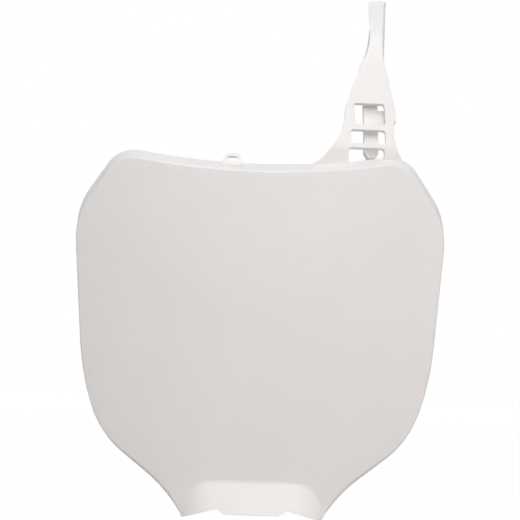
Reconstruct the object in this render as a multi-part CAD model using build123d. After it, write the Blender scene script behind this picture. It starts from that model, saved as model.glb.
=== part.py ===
from build123d import *
import os
from math import cos, degrees, radians, sin, sqrt, tan

# Front number board of an off-road motorbike, moulded in one piece of white polypropylene.
# Millimetres. +X is to the right as the board is read, +Y points back to the rider, +Z is up.
# The origin is the crown of the face, in the middle of the number field, on the plane of symmetry.

# Wall and face
WALL = 2.2
FACE_RADIUS_ACROSS = 350.0      # crown of the face from side to side
FACE_RADIUS_UP = 1500.0         # crown of the face from top to bottom

# Rim that runs back from the face
RIM_DEPTH = 12.0                # from the face back to the rim's free edge
RIM_LEAN = 22.0                 # degrees that the whole rim rises as it runs back
EDGE_BREAK = 0.6                # bevel from the face into the rim

# Outline from the front: the corners before rounding, with their spans, heights and radii
TOP_HEIGHT = 119.2              # middle of the top edge, at the rim's free edge
TOP_DIP = 9.5                   # sag of the top edge below its corners
TOP_SPAN = 193.8
TOP_CORNER_RADIUS = 25.0
SHOULDER_SPAN = 252.3
SHOULDER_HEIGHT = 80.8
SHOULDER_RADIUS = 46.0
HIP_SPAN = 236.2
HIP_HEIGHT = -23.9
HIP_RADIUS = 160.0
TURN_SPAN = 210.3
TURN_HEIGHT = -65.1
TURN_RADIUS = 60.8
FLANK_SPAN = 120.9
FLANK_HEIGHT = -100.1
FLANK_RADIUS = 82.0
FOOT_SPAN = 93.0
FOOT_HEIGHT = -120.1

# Bottom edge: a tab between two notches
NOTCH_SPAN = 47.4
NOTCH_HEIGHT = -113.7
NOTCH_RADIUS = 3.0
TAB_SPAN = 36.4
TAB_HEIGHT = -117.3
TAB_RADIUS = 5.0

# Lip that kicks forward above the bottom edge
LIP_HEIGHT = -95.4              # crease across the face
LIP_KICK = 24.0                 # degrees forward of the face
LIP_SPAN = 106.0
LIP_END_RADIUS = 25.0           # rounding of the lip's ends back into the face
LIP_END_SHARE = 2.3             # of the lip's rise in front of the face, at most, for that rounding
LIP_CREASE_RADIUS = 5.0         # hollow rounding from the face into the lip

# Tie eyelet on the crest of the top edge
EYELET_X = -20.3
EYELET_SPAN = 14.6              # at its root
EYELET_TOP_SPAN = 9.2
EYELET_RISE = 6.2               # above the top edge
EYELET_THICKNESS = 2.6
EYELET_LEAN = 20.0
EYELET_CORNER_RADIUS = 2.8
EYELET_HOLE_SPAN = 6.8
EYELET_HOLE_HEIGHT = 3.4
EYELET_HOLE_RADIUS = 1.5
EYELET_HOLE_RISE = 0.5          # of the hole's lower edge

# Strap that goes round the handlebar, with a ladder of windows above its root
STRAP_X = 71.5
STRAP_THICKNESS = 2.8
STRAP_INSET = 0.3               # from the strap's back face to the rim's free edge
STRAP_FACING = 10.0             # degrees that the strap faces to the right
STRAP_LEAN = 25.0               # degrees that the strap leans back above its bend
STRAP_SHIFT = -0.5              # from the root's middle to the strap's axis at the bend
STRAP_SLANT = 6.1               # degrees that the strap's axis slants to the right
BEND_RISE = 9.0                 # height of the bend above the rim
BEND_RADIUS = 22.0

# Outline of the strap: lengths start at its bend, and half spans at its axis
ROOT_LENGTH = -13.5             # end of the root, buried in the rim
ROOT_LEFT = 39.8
ROOT_RIGHT = 31.5
FLARE_LEFT_LENGTH = 20.0        # where the root has narrowed to the ladder
FLARE_RIGHT_LENGTH = 9.5
LADDER_LEFT = 17.4
LADDER_RIGHT = 17.8
LADDER_LENGTH = 32.5            # where the strap starts to taper
LADDER_SPAN = 33.2
TAPER_LENGTH = 63.3             # where the strap starts to twist
TAPER_SPAN = 16.4
NECK_LENGTH = 74.6              # half-way through the twist
NECK_SPAN = 12.4
NECK_SHIFT = 1.6                # from the strap's axis to the right
NECK_TWIST = 8.0
TAIL_LENGTH = 86.0              # where the tail has its full twist
TAIL_SPAN = 11.1
TAIL_SHIFT = 1.8
TAIL_TWIST = 20.0               # degrees that the tail turns to the left
TAIL_SIDE = 24.0                # degrees that the tail's sides slope
TIP_LENGTH = 112.1
TIP_SPAN = 10.4
TIP_RADIUS = 2.0

# Ladder: windows and the rungs between them, counted up from the root
RUNG_LENGTH = -0.7               # lower edge of the first rung
FIRST_RUNG_HEIGHT = 3.1
SECOND_RUNG_HEIGHT = 4.4
FIRST_WINDOW_SPAN = 24.6
SECOND_WINDOW_SPAN = 24.0
SECOND_WINDOW_HEIGHT = 10.2
THIRD_WINDOW_SPAN = 21.2
THIRD_WINDOW_HEIGHT = 15.7
WINDOW_RADIUS = 2.0

# Keeper finger behind the ladder, which holds the tail
KEEPER_CLEARANCE = 0.5          # play of the tail between ladder and keeper
KEEPER_THICKNESS = 3.6
KEEPER_SPAN = 9.8
KEEPER_SHIFT = 3.2              # from the root's middle, at the bend
KEEPER_SLANT = 2.0              # degrees that the finger slants to the right
KEEPER_LENGTH = 38.0
KEEPER_TIP_LENGTH = -4.5
KEEPER_TIP_SPAN = 4.0
KEEPER_TIP_TAPER = 3.3
KEEPER_ARM_LENGTH = 19.5        # lower edge of the arm that joins the keeper to the ladder
KEEPER_ARM_HEIGHT = 11.0
KEEPER_WEB_THICKNESS = 3.4      # of the web between the arm and the ladder's right rail
KEEPER_WEB_PROUD = 0.8          # of the web beyond the ladder's right side

# Blocks that cut or bound others run past them by this much
REACH = 90.0
SIDE_SHARE = 0.48               # of a straight side, at most, for the rounding of one corner


def face_depth(x, z, inset=0):
    """Y of the crowned face at a point seen from the front, with the face moved back by an inset."""
    across = FACE_RADIUS_ACROSS - sqrt((FACE_RADIUS_ACROSS - inset) ** 2 - x ** 2)
    return FACE_RADIUS_UP - sqrt((FACE_RADIUS_UP - across) ** 2 - z ** 2)


def top_edge(x):
    """Height of the board's top edge at a distance from the plane of symmetry."""
    radius = ((TOP_SPAN / 2) ** 2 + TOP_DIP ** 2) / (2 * TOP_DIP)
    return TOP_HEIGHT + radius - sqrt(radius ** 2 - x ** 2)


def rounding(before, corner, after, radius):
    """The radius of a corner, limited to what its two sides leave room for."""
    inward = Vector(*before) - Vector(*corner)
    onward = Vector(*after) - Vector(*corner)
    half_turn = radians(180 - inward.get_angle(onward)) / 2
    return min(radius, SIDE_SHARE * min(inward.length, onward.length) / tan(half_turn))


def symmetric_face(corners, crest=None):
    """A face from its right-hand corners (x, z, radius), whose first side may arch through a crest."""
    right = [(x, z) for x, z, radius in corners]
    path = right + [(-x, z) for x, z in reversed(right)]
    first = ThreePointArc(path[-1], (0, crest), path[0]) if crest is not None else Line(path[-1], path[0])
    face = make_face(Curve() + [first, Polyline(*path)])
    for number, (x, z, radius) in enumerate(corners):
        if radius:
            fitted = rounding(path[number - 1], path[number], path[number + 1], radius)
            for side in (x, -x):
                corner = face.vertices().sort_by_distance(Vector(side, z))[0]
                face = fillet(corner, fitted)
    return face


def through(sketch):
    """A sketch seen from the front, run through the board from front to back."""
    return extrude(Plane.XZ * sketch, 3 * REACH, both=True)


# The rim runs back along one direction, and its section is drawn square to it
RISE = radians(RIM_LEAN)
RIM_PLANE = Plane((0, 0, 0), (1, 0, 0), (0, -cos(RISE), -sin(RISE)))


def along_rim(x, z, inset=0):
    """A point of the face, moved back by an inset, as it is seen along the rim."""
    return (x, z * cos(RISE) - face_depth(x, z, inset) * sin(RISE))


def board_section():
    """Section through the rim, with its flanks run on past the bottom edge."""
    run_x = (FLANK_SPAN - FOOT_SPAN) / 2
    run_z = FLANK_HEIGHT - FOOT_HEIGHT
    lowest = min(FOOT_HEIGHT, NOTCH_HEIGHT, TAB_HEIGHT)
    share = (FOOT_HEIGHT - lowest + RIM_DEPTH) / max(run_x, run_z)
    corners = [
        (*along_rim(TOP_SPAN / 2, TOP_HEIGHT + TOP_DIP, RIM_DEPTH), TOP_CORNER_RADIUS),
        (*along_rim(SHOULDER_SPAN / 2, SHOULDER_HEIGHT), SHOULDER_RADIUS),
        (*along_rim(HIP_SPAN / 2, HIP_HEIGHT), HIP_RADIUS),
        (*along_rim(TURN_SPAN / 2, TURN_HEIGHT), TURN_RADIUS),
        (*along_rim(FLANK_SPAN / 2, FLANK_HEIGHT), FLANK_RADIUS),
        (*along_rim(FOOT_SPAN / 2 - share * run_x, FOOT_HEIGHT - share * run_z), 0),
    ]
    x, crest = along_rim(0, TOP_HEIGHT, RIM_DEPTH)
    return symmetric_face(corners, crest)


def board_sides(inset):
    """Everything within the board's sides, with the sides moved in by an inset."""
    section = offset(board_section(), -inset) if inset else board_section()
    return extrude(RIM_PLANE * section, 3 * REACH, both=True)


def crown(inset, back=REACH):
    """Everything behind the crowned face, with the face moved back by an inset."""
    disc = Pos(0, FACE_RADIUS_ACROSS) * Circle(FACE_RADIUS_ACROSS - inset)
    near = Rectangle(2 * FACE_RADIUS_ACROSS, 2 * back)
    sweep = degrees(4 * TOP_HEIGHT / FACE_RADIUS_UP)
    axis = Axis((0, FACE_RADIUS_UP, 0), (1, 0, 0))
    return revolve((disc & near).rotate(axis, -sweep / 2), axis, sweep)


def lip(inset):
    """The face turned forward about the lip's crease, with its two ends rounded back."""
    half = LIP_SPAN / 2 - inset
    block = Pos(0, FOOT_HEIGHT) * Rectangle(2 * half, REACH)
    crease = Axis((0, face_depth(0, LIP_HEIGHT), LIP_HEIGHT), (1, 0, 0))
    body = through(block) & crown(inset).rotate(crease, -LIP_KICK)
    ends = body.faces().sort_by(Axis.Y)[0].edges().sort_by(Axis.X)
    rise = (LIP_HEIGHT - FOOT_HEIGHT) * tan(radians(LIP_KICK))
    return fillet([ends[0], ends[-1]], min(LIP_END_RADIUS, LIP_END_SHARE * rise) - inset)


def board_body(inset):
    """The board filled solid from its face and lip back, with all its outer sides moved in by an inset."""
    front = crown(inset) + lip(inset)
    crease = front.edges().sort_by_distance((0, face_depth(0, LIP_HEIGHT, inset), LIP_HEIGHT))[0]
    return board_sides(inset) & fillet(crease, LIP_CREASE_RADIUS + inset)


def bevelled_body():
    """The solid board with the edge round its front bevelled, from the top edge on to both feet."""
    body = board_body(0)
    top = body.edges().sort_by_distance((0, 0, TOP_HEIGHT))[0]
    return chamfer(top, EDGE_BREAK)


def bottom_cut():
    """Everything below the bottom edge: the tab, its notches and the slope to each foot."""
    corners = [
        (FOOT_SPAN, FOOT_HEIGHT - REACH, 0),
        (FOOT_SPAN, FOOT_HEIGHT, 0),
        (FOOT_SPAN / 2, FOOT_HEIGHT, 0),
        (NOTCH_SPAN / 2, NOTCH_HEIGHT, NOTCH_RADIUS),
        (TAB_SPAN / 2, TAB_HEIGHT, TAB_RADIUS),
    ]
    return through(symmetric_face(corners))


def eyelet():
    """Loop for a cable tie, standing on the crest of the top edge and leaning back."""
    crest = (EYELET_TOP_SPAN / 2, EYELET_RISE, EYELET_CORNER_RADIUS)
    loop = symmetric_face([crest, (EYELET_SPAN / 2, -WALL, 0)])
    hole = RectangleRounded(EYELET_HOLE_SPAN, EYELET_HOLE_HEIGHT, EYELET_HOLE_RADIUS)
    loop -= Pos(0, EYELET_HOLE_RISE + EYELET_HOLE_HEIGHT / 2) * hole
    body = extrude(Plane.XZ * loop, EYELET_THICKNESS / 2, both=True)
    rim = top_edge(EYELET_X)
    depth = face_depth(EYELET_X, rim, RIM_DEPTH)
    return Pos(EYELET_X, depth - EYELET_THICKNESS, rim) * Rot(-EYELET_LEAN, 0, 0) * body


# The strap is modelled in its own frame: origin on the rim, front face at Y = 0 below the bend
LEAN = radians(STRAP_LEAN)
BLADE_PLANE = Plane((0, 0, BEND_RISE), (1, 0, 0), (0, -cos(LEAN), sin(LEAN)))


def behind_strap(depth):
    """Everything behind the strap's front face, with that face moved back by a depth."""
    start = (depth, -REACH)
    bend = (depth, BEND_RISE - depth * tan(LEAN / 2))
    end = (depth + 2 * REACH * sin(LEAN), bend[1] + 2 * REACH * cos(LEAN))
    front = FilletPolyline(start, bend, end, radius=BEND_RADIUS - depth)
    back = Polyline(end, (3 * REACH, end[1]), (3 * REACH, -REACH), start)
    return extrude(Plane.YZ * make_face(Curve() + [front, back]), REACH, both=True)


def bent_sheet(sketch, front, back):
    """A sketch on the blade's plane, cut out of a sheet that follows the strap's bend."""
    block = extrude(BLADE_PLANE * sketch, REACH / 2, both=True)
    return block & (behind_strap(front) - behind_strap(back))


def axis_shift(length):
    """Distance of the strap's axis from the root's middle, at a length along the strap."""
    return STRAP_SHIFT + length * tan(radians(STRAP_SLANT))


def beside_axis(distance, length):
    """A point of the strap's outline, at a distance to the right of its axis."""
    return (axis_shift(length) + distance, length)


def rail_right(length):
    """Distance of the ladder's right side from the strap's axis, at a length along the strap."""
    share = (length - FLARE_RIGHT_LENGTH) / (LADDER_LENGTH - FLARE_RIGHT_LENGTH)
    return LADDER_RIGHT + share * (LADDER_SPAN / 2 - LADDER_RIGHT)


def flare(narrow, ladder, root):
    """Curve from the narrow end of the strap's root, in line with the ladder, out to the rim."""
    return TangentArc(narrow, root, tangent=Vector(*narrow) - Vector(*ladder))


def window(low, high, span):
    """One window of the ladder, between two lengths along the strap."""
    middle = (low + high) / 2
    return Pos(axis_shift(middle), middle) * RectangleRounded(span, high - low, WINDOW_RADIUS)


def ladder_windows():
    """The three windows: the first stands on the rim, the others on the rungs."""
    second = RUNG_LENGTH + FIRST_RUNG_HEIGHT
    second_top = second + SECOND_WINDOW_HEIGHT
    third = second_top + SECOND_RUNG_HEIGHT
    return [
        window(ROOT_LENGTH, RUNG_LENGTH, FIRST_WINDOW_SPAN),
        window(second, second_top, SECOND_WINDOW_SPAN),
        window(third, third + THIRD_WINDOW_HEIGHT, THIRD_WINDOW_SPAN),
    ]


def blade():
    """The strap from its flared root to the end of its taper, with its windows."""
    root_left = beside_axis(-ROOT_LEFT, ROOT_LENGTH)
    root_right = beside_axis(ROOT_RIGHT, ROOT_LENGTH)
    narrow_left = beside_axis(-LADDER_LEFT, FLARE_LEFT_LENGTH)
    narrow_right = beside_axis(LADDER_RIGHT, FLARE_RIGHT_LENGTH)
    ladder_left = beside_axis(-LADDER_SPAN / 2, LADDER_LENGTH)
    ladder_right = beside_axis(LADDER_SPAN / 2, LADDER_LENGTH)
    taper_left = beside_axis(-TAPER_SPAN / 2, TAPER_LENGTH)
    taper_right = beside_axis(TAPER_SPAN / 2, TAPER_LENGTH)
    sides = [
        Polyline(narrow_right, ladder_right, taper_right, taper_left, ladder_left, narrow_left),
        flare(narrow_left, ladder_left, root_left),
        Line(root_left, root_right),
        flare(narrow_right, ladder_right, root_right),
    ]
    return bent_sheet(make_face(Curve() + sides) - ladder_windows(), 0, STRAP_THICKNESS)


def tail_section(length, span, shift, twist, side):
    """Cross-section of the tail, square to the strap, twisted to the left, its sides sloped to the front."""
    middle = BLADE_PLANE.from_local_coords((*beside_axis(shift, length), -STRAP_THICKNESS / 2))
    square = Plane(middle, BLADE_PLANE.x_dir, BLADE_PLANE.y_dir)
    front = span / 2 - STRAP_THICKNESS * tan(radians(side))
    corners = [(span / 2, STRAP_THICKNESS / 2, 0), (front, -STRAP_THICKNESS / 2, 0)]
    return square * Rot(0, 0, -twist) * symmetric_face(corners)


def tail():
    """The plain end of the strap, narrowed and twisted, cut level at its tip."""
    sections = [
        tail_section(TAPER_LENGTH, TAPER_SPAN, 0, 0, 0),
        tail_section(NECK_LENGTH, NECK_SPAN, NECK_SHIFT, NECK_TWIST, TAIL_SIDE),
        tail_section(TAIL_LENGTH, TAIL_SPAN, TAIL_SHIFT, TAIL_TWIST, TAIL_SIDE),
        tail_section(TIP_LENGTH + TIP_SPAN, TIP_SPAN, TAIL_SHIFT, TAIL_TWIST, TAIL_SIDE),
    ]
    level = Plane.XY.offset(BEND_RISE + TIP_LENGTH * cos(LEAN))
    body = split(loft(sections), level, Keep.BOTTOM)
    tip = body.faces().sort_by(Axis.Z)[-1]
    return fillet(tip.edges().sort_by(SortBy.LENGTH)[:2], TIP_RADIUS)


def keeper():
    """Finger behind the ladder, joined to the right rail by an arm and a web."""
    front = 2 * STRAP_THICKNESS + KEEPER_CLEARANCE
    back = front + KEEPER_THICKNESS
    half = KEEPER_SPAN / 2
    shoulder = KEEPER_TIP_LENGTH + KEEPER_TIP_TAPER
    tip = (KEEPER_TIP_SPAN / 2, KEEPER_TIP_LENGTH, 0)
    finger = symmetric_face([(half, KEEPER_LENGTH, 0), (half, shoulder, 0), tip])
    finger = Pos(KEEPER_SHIFT, 0) * Rot(0, 0, -KEEPER_SLANT) * finger

    arm_middle = KEEPER_ARM_LENGTH + KEEPER_ARM_HEIGHT / 2
    web_right = axis_shift(arm_middle) + rail_right(arm_middle) + KEEPER_WEB_PROUD
    web_left = web_right - KEEPER_WEB_THICKNESS
    arm = Rectangle(web_right - KEEPER_SHIFT, KEEPER_ARM_HEIGHT)
    arm = Pos((KEEPER_SHIFT + web_right) / 2, arm_middle) * arm
    web = Rectangle(KEEPER_WEB_THICKNESS, KEEPER_ARM_HEIGHT)
    web = Pos((web_left + web_right) / 2, arm_middle) * web
    return bent_sheet(finger + arm, front, back) + bent_sheet(web, 0, back)


def strap():
    """The whole strap on the board's rim."""
    rim = top_edge(STRAP_X)
    front = face_depth(STRAP_X, rim, RIM_DEPTH) - STRAP_INSET - STRAP_THICKNESS
    return Pos(STRAP_X, front, rim) * Rot(0, 0, STRAP_FACING) * (blade() + tail() + keeper())


solid = bevelled_body() - crown(RIM_DEPTH, 2 * REACH)
number_board = solid + eyelet() + strap() - board_body(WALL) - bottom_cut()

os.makedirs("parts", exist_ok=True)
export_step(number_board, "parts/number_board.step")
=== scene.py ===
# %% [markdown]
# # A racing number board in white plastic
#
# This lesson dresses one moulding: the front number board of an off-road motorbike, with its
# leaning rim, its kicked lower lip, a tie eyelet and the ladder strap that goes round the
# handlebar. It could be modelled again by hand, but its shape is already exact, so it is loaded
# as a fixed frame and kept. What is left to do is the plastic, the floor, the light and the
# camera.

# %% Load the board
from math import radians

import bpy
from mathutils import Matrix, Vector


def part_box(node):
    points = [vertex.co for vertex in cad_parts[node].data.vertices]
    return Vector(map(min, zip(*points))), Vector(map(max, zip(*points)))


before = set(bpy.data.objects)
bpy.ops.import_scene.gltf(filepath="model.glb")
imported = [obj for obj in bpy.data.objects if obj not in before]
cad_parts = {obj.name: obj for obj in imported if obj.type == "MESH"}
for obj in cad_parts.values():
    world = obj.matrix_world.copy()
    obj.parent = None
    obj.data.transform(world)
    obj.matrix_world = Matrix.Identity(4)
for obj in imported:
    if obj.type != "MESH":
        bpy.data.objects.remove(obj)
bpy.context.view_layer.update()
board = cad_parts["number_board"]
low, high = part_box("number_board")
middle = (low + high) / 2
print("board from", [round(v, 4) for v in low], "to", [round(v, 4) for v in high])
print("triangles", len(board.data.polygons))

# %% [markdown]
# ## White polypropylene
#
# The board is moulded in a white plastic that has a satin gloss and a trace of warmth. A single
# colour with a single gloss would look like paint on a screen. Up close the real plastic varies:
# the pigment clouds a little as the melt fills the mould, the gloss changes from place to place,
# and the tool leaves a fine grain. All three could be painted as pictures. Here they are noise on
# Object coordinates, which stays on the board from every side and needs no picture.

# %% Small helpers for node trees
NODE_STEP = 250                 # nodes stand in a row, in the order in which they are made
SHARE = (0.0, 1.0)              # from none to all


def add_node(tree, kind, **settings):
    node = tree.nodes.new(kind)
    node.location.x = NODE_STEP * len(tree.nodes)
    for name, value in settings.items():
        setattr(node, name, value)
    return node


def noise(tree, coordinates, scale, detail):
    texture = add_node(tree, "ShaderNodeTexNoise")
    texture.inputs["Scale"].default_value = scale
    texture.inputs["Detail"].default_value = detail
    tree.links.new(coordinates.outputs["Object"], texture.inputs["Vector"])
    return texture.outputs["Fac"]


def span(tree, value, source, target):
    mapped = add_node(tree, "ShaderNodeMapRange")
    mapped.inputs["From Min"].default_value = source[0]
    mapped.inputs["From Max"].default_value = source[1]
    mapped.inputs["To Min"].default_value = target[0]
    mapped.inputs["To Max"].default_value = target[1]
    tree.links.new(value, mapped.inputs["Value"])
    return mapped.outputs["Result"]


# %% Pigment and gloss
DENSE_PIGMENT = (0.852, 0.825, 0.805, 1.0)
THIN_PIGMENT = (0.874, 0.849, 0.830, 1.0)
CLOUD_SCALE = 14.0
CLOUD_DETAIL = 3.0
GLOSS_SCALE = 55.0
GLOSS_DETAIL = 4.0
NOISE_RANGE = (0.3, 0.7)        # where nearly all of the noise lies
ROUGHNESS_RANGE = (0.36, 0.46)


def pigment(tree, coordinates):
    clouds = noise(tree, coordinates, CLOUD_SCALE, CLOUD_DETAIL)
    amount = span(tree, clouds, NOISE_RANGE, SHARE)
    colour = add_node(tree, "ShaderNodeMix", data_type="RGBA")
    colour.inputs["A"].default_value = DENSE_PIGMENT
    colour.inputs["B"].default_value = THIN_PIGMENT
    tree.links.new(amount, colour.inputs["Factor"])
    return colour.outputs["Result"]


def satin(tree, coordinates):
    patches = noise(tree, coordinates, GLOSS_SCALE, GLOSS_DETAIL)
    return span(tree, patches, NOISE_RANGE, ROUGHNESS_RANGE)


print("pigment from", DENSE_PIGMENT[:3], "to", THIN_PIGMENT[:3])
print("roughness from", ROUGHNESS_RANGE[0], "to", ROUGHNESS_RANGE[1])

# %% [markdown]
# ## Softened edges and grain
#
# No edge of a moulding is sharp. The solid has its edges broken, but the shine of an edge comes
# from how softly the surface turns there. The Bevel node blends the shading across an edge within
# a radius and leaves the shape alone, where a Bevel modifier would have to cut the mesh. On the
# lower flanks, where the rim rolls into the feet, the radius grows, so it is worked out from the
# place on the board. The grain of the mould is far too fine to model, and a bump is enough for it.

# %% Softened edges
EDGE_RADIUS = 0.0006
FLANK_RADIUS = 0.0040
EDGE_SAMPLES = 8
ROLL_START = 0.060              # height above the feet where the wide roll sets in
ROLL_FULL = 0.035               # and where it is at its full radius
FLANK_X = (0.046, 0.056)        # from the middle: beyond the lip's ends
FLANK_Z = (low.z + ROLL_START, low.z + ROLL_FULL)


def combine(tree, operation, first, second):
    node = add_node(tree, "ShaderNodeMath", operation=operation)
    tree.links.new(first, node.inputs[0])
    tree.links.new(second, node.inputs[1])
    return node.outputs["Value"]


def soft_edges(tree, coordinates):
    place = add_node(tree, "ShaderNodeSeparateXYZ")
    tree.links.new(coordinates.outputs["Object"], place.inputs["Vector"])
    outward = add_node(tree, "ShaderNodeMath", operation="ABSOLUTE")
    tree.links.new(place.outputs["X"], outward.inputs[0])
    beside = span(tree, outward.outputs["Value"], FLANK_X, SHARE)
    below = span(tree, place.outputs["Z"], FLANK_Z, SHARE)
    flank = combine(tree, "MULTIPLY", beside, below)
    radius = span(tree, flank, SHARE, (EDGE_RADIUS, FLANK_RADIUS))
    edges = add_node(tree, "ShaderNodeBevel", samples=EDGE_SAMPLES)
    tree.links.new(radius, edges.inputs["Radius"])
    return edges.outputs["Normal"]


print("edge radius", EDGE_RADIUS, "m, on the lower flanks up to", FLANK_RADIUS, "m")

# %% Grain of the mould
GRAIN_SCALE = 1800.0
GRAIN_DETAIL = 2.0
GRAIN_STRENGTH = 0.05
GRAIN_DEPTH = 0.0002


def grained(tree, coordinates, normal):
    bump = add_node(tree, "ShaderNodeBump")
    bump.inputs["Strength"].default_value = GRAIN_STRENGTH
    bump.inputs["Distance"].default_value = GRAIN_DEPTH
    grain = noise(tree, coordinates, GRAIN_SCALE, GRAIN_DETAIL)
    tree.links.new(grain, bump.inputs["Height"])
    tree.links.new(normal, bump.inputs["Normal"])
    return bump.outputs["Normal"]


print("grain about", round(1 / GRAIN_SCALE, 5), "m wide")

# %% [markdown]
# ## The finished plastic
#
# A thin white plastic lets a little light in and out again. A translucent shader could be mixed in
# for that, but the Principled shader has subsurface scattering of its own, and a small share of it
# is enough. The red goes furthest, as it does in real plastics. The index of refraction is
# polypropylene's.

# %% The plastic
PLASTIC_IOR = 1.49
SCATTER_SHARE = 0.12
SCATTER_RADIUS = (0.0030, 0.0026, 0.0022)
SCATTER_SCALE = 1.0             # so that the radii are in metres


def put_last(tree, *names):
    for place, name in enumerate(names, start=len(tree.nodes) + 1):
        tree.nodes[name].location.x = NODE_STEP * place


def white_plastic():
    material = bpy.data.materials.new("white_polypropylene")
    material.use_nodes = True
    tree = material.node_tree
    shader = tree.nodes["Principled BSDF"]
    shader.inputs["IOR"].default_value = PLASTIC_IOR
    shader.inputs["Subsurface Weight"].default_value = SCATTER_SHARE
    shader.inputs["Subsurface Radius"].default_value = SCATTER_RADIUS
    shader.inputs["Subsurface Scale"].default_value = SCATTER_SCALE
    coordinates = add_node(tree, "ShaderNodeTexCoord")
    normal = grained(tree, coordinates, soft_edges(tree, coordinates))
    tree.links.new(pigment(tree, coordinates), shader.inputs["Base Color"])
    tree.links.new(satin(tree, coordinates), shader.inputs["Roughness"])
    tree.links.new(normal, shader.inputs["Normal"])
    put_last(tree, "Principled BSDF", "Material Output")
    return material


plastic = white_plastic()
board.data.materials.clear()
board.data.materials.append(plastic)
print("material", plastic.name, "with", len(plastic.node_tree.nodes), "nodes")

# %% [markdown]
# ## Floor
#
# The board stands on a wide sheet of white paper. More light would turn a floor white as well, but
# it would also fall on the board. Here the paper is simply white to the lens and in reflections,
# and to all other light it is an ordinary pale surface, which throws back no more than paper does.
# The Light Path node tells these cases apart. A small share of the real paper is kept in the
# white, and with it the board's soft shadow.

# %% What the lens and reflections see
def seen_directly(tree):
    path = add_node(tree, "ShaderNodeLightPath")
    lens = path.outputs["Is Camera Ray"]
    shine = combine(tree, "MAXIMUM", lens, path.outputs["Is Glossy Ray"])
    return combine(tree, "MAXIMUM", shine, path.outputs["Is Transmission Ray"])


# %% The paper
PAPER_COLOUR = (0.60, 0.60, 0.60, 1.0)
WHITE_STRENGTH = 1.0
WHITE_SHARE = 0.99


def white_paper():
    material = bpy.data.materials.new("white_paper")
    material.use_nodes = True
    tree = material.node_tree
    tree.nodes.remove(tree.nodes["Principled BSDF"])
    paper = add_node(tree, "ShaderNodeBsdfDiffuse")
    paper.inputs["Color"].default_value = PAPER_COLOUR
    white = add_node(tree, "ShaderNodeEmission")
    white.inputs["Strength"].default_value = WHITE_STRENGTH
    share = span(tree, seen_directly(tree), SHARE, (0.0, WHITE_SHARE))
    mix = add_node(tree, "ShaderNodeMixShader")
    tree.links.new(share, mix.inputs["Fac"])
    tree.links.new(paper.outputs["BSDF"], mix.inputs[1])
    tree.links.new(white.outputs["Emission"], mix.inputs[2])
    tree.links.new(mix.outputs["Shader"], tree.nodes["Material Output"].inputs["Surface"])
    put_last(tree, "Material Output")
    return material


print("paper", PAPER_COLOUR[:3], "with", WHITE_SHARE, "of white to the lens")

# %% The sheet
FLOOR_SIDE = 6.0

bpy.ops.object.select_all(action="DESELECT")
bpy.ops.mesh.primitive_plane_add(size=FLOOR_SIDE, location=(0.0, 0.0, low.z))
floor = bpy.context.object
floor.name = "paper_floor"
bpy.ops.object.transform_apply(location=True, rotation=True, scale=True)
floor.data.materials.append(white_paper())
print("floor", FLOOR_SIDE, "m square at height", round(low.z, 4))

# %% [markdown]
# ## Light
#
# Four round soft boxes light the board. The main one hangs high in front, so that the lip and the
# strap, which lean back under it, come out brighter than the upright face. A cooler one from
# nearly overhead lifts the top edge, and a weak one on the right keeps that side a shade lighter
# than the left. A smaller one stands straight behind the board and lights only its back: from
# further round it would graze the rim and burn it out to white. One sun lamp would be less work,
# but large boxes give the wide, soft shadows of a studio.

# %% Soft boxes
BOX_SIZE = 1.4
BACK_SIZE = 0.6
WARM_LIGHT = (1.0, 0.84, 0.72)
COOL_LIGHT = (0.75, 0.88, 1.0)
PALE_LIGHT = (0.88, 0.93, 1.0)
WHITE_LIGHT = (1.0, 1.0, 1.0)


def soft_box(name, place, size, power, colour):
    lamp = bpy.data.lights.new(name, "AREA")
    lamp.shape = "DISK"
    lamp.size = size
    lamp.energy = power
    lamp.color = colour
    holder = bpy.data.objects.new(name, lamp)
    holder.location = place
    holder.rotation_euler = (middle - Vector(place)).to_track_quat("-Z", "Y").to_euler()
    holder.visible_camera = False
    bpy.context.scene.collection.objects.link(holder)
    print(name, "at", place, "power", power)


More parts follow.
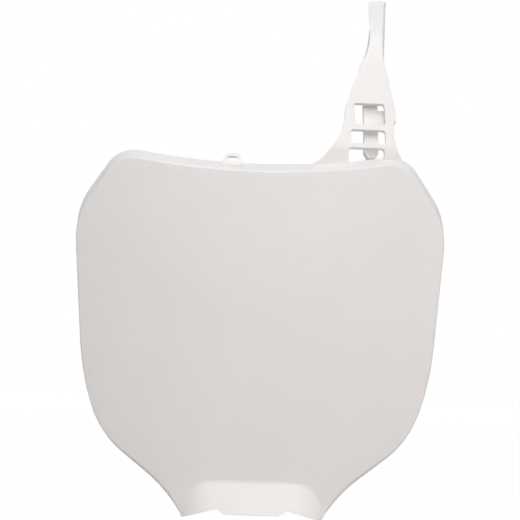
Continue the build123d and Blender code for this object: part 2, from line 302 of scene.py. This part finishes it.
soft_box("front_box", place=(0.40, -2.15, 1.65), size=BOX_SIZE, power=26.5, colour=WARM_LIGHT)
soft_box("top_box", place=(-0.25, -0.93, 2.03), size=BOX_SIZE, power=24.0, colour=COOL_LIGHT)
soft_box("side_box", place=(2.20, -1.40, 0.90), size=BOX_SIZE, power=10.0, colour=PALE_LIGHT)
soft_box("back_box", place=(0.00, 2.60, 0.25), size=BACK_SIZE, power=28.0, colour=WHITE_LIGHT)

# %% [markdown]
# ## Studio air
#
# The walls and the ceiling of a studio send back a little light from all round, which keeps the
# shadows open. They could be built as large pale planes, but the world's background does the same
# with no shapes in the way. To the lens and in reflections it is white, as the paper is.

# %% The world
AIR_LIGHT = 0.20
AIR_COLOUR = (1.0, 1.0, 1.0, 1.0)


def studio_air():
    world = bpy.data.worlds.new("studio_air")
    world.use_nodes = True
    tree = world.node_tree
    air = tree.nodes["Background"]
    air.inputs["Color"].default_value = AIR_COLOUR
    strength = span(tree, seen_directly(tree), SHARE, (AIR_LIGHT, WHITE_STRENGTH))
    tree.links.new(strength, air.inputs["Strength"])
    put_last(tree, "Background", "World Output")
    return world


bpy.context.scene.world = studio_air()
print("air", AIR_LIGHT)

# %% [markdown]
# ## Camera
#
# The picture is taken square from the front. A camera without perspective would do, but a long
# lens from some way off is what a photographer would use, and it keeps the outline nearly as true.
# The board hangs just under two degrees clockwise in the picture. It is fixed here, so the camera
# is rolled by as much the other way.

# %% The camera
PICTURE_SIDE = 0.3497           # what the square picture takes in at the board
CAMERA_DISTANCE = 3.0
CAMERA_RIGHT = 0.0004           # from the middle of the board
CAMERA_DROP = 0.00312
CAMERA_LEVEL = 90.0             # degrees: an unturned camera looks straight down
CAMERA_ROLL = 1.8
SENSOR_WIDTH = 36.0             # millimetres, as the lens is

long_lens = bpy.data.cameras.new("front_camera")
long_lens.sensor_width = SENSOR_WIDTH
long_lens.lens = SENSOR_WIDTH * CAMERA_DISTANCE / PICTURE_SIDE
camera = bpy.data.objects.new("front_camera", long_lens)
camera.location = (middle.x + CAMERA_RIGHT, -CAMERA_DISTANCE, middle.z - CAMERA_DROP)
camera.rotation_euler = (radians(CAMERA_LEVEL), radians(-CAMERA_ROLL), 0.0)
bpy.context.scene.collection.objects.link(camera)
bpy.context.scene.camera = camera
bpy.context.scene.view_settings.view_transform = "Standard"
print("lens", round(long_lens.lens, 1), "mm")
